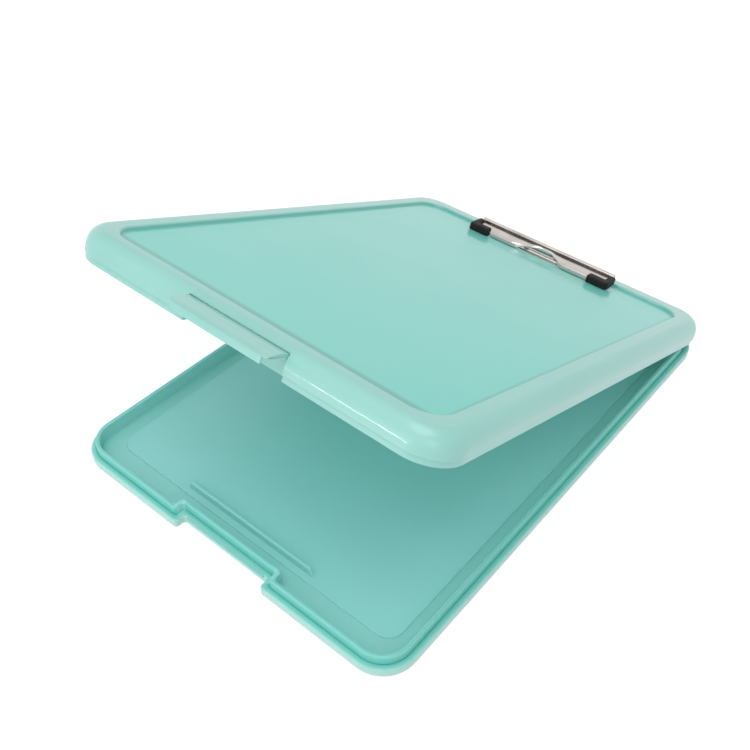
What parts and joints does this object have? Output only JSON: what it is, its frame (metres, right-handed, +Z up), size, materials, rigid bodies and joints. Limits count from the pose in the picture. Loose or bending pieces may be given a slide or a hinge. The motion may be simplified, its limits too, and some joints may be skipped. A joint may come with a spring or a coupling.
{
  "type": "storage clipboard box",
  "caption": "Shallow storage tray with a hinged clipboard lid, a swing latch on the front edge and a sprung metal paper clip at the hinge end.",
  "frame": {"origin": "centre of the tray's flat underside", "axes": "+X to the right, +Y towards the hinge, +Z up out of the tray; the latch is at -Y"},
  "size_m": [0.24, 0.3425, 0.1544],
  "materials": {
    "tray_plastic": "glossy moulded mint plastic",
    "lid_plastic": "glossy moulded mint plastic",
    "clip_nickel": "nickel-plated sheet steel",
    "pin_steel": "plain steel wire",
    "spring_steel": "drawn spring steel",
    "cap_rubber": "matt black rubber"
  },
  "bodies": {
    "tray": {"base_tray": "tray_plastic", "hinge_pin_left": "pin_steel", "hinge_pin_right": "pin_steel"},
    "lid": {"lid_shell": "lid_plastic", "latch_pin": "pin_steel", "clip_base_plate": "clip_nickel", "clip_rod": "pin_steel", "clip_rivets": "pin_steel", "rivet_washers": "pin_steel", "clip_spring_left": "spring_steel", "clip_spring_right": "spring_steel"},
    "latch": {"latch_flap": "lid_plastic"},
    "clip": {"clip_lever": "clip_nickel", "clip_cap_left": "cap_rubber", "clip_cap_right": "cap_rubber"}
  },
  "joints": [
    {"name": "lid_hinge", "type": "hinge", "parent": "tray", "child": "lid", "pos_m": [0, 0.1668, 0.01], "axis": [-1, 0, 0], "range_deg": [-22.44, 97.56]},
    {"name": "latch_hinge", "type": "hinge", "parent": "lid", "child": "latch", "pos_m": [0, -0.1391, 0.14586], "axis": [-1, 0, 0], "range_deg": [-97, 20]},
    {"name": "clip_press", "type": "hinge", "parent": "lid", "child": "clip", "pos_m": [0, 0.15049, 0.03156], "axis": [-1, 0, 0], "range_deg": [0, 25], "stiffness_Nm_per_rad": 0.15, "springref_deg": -22.92, "deforming": ["clip_spring_left", "clip_spring_right"]}
  ]
}
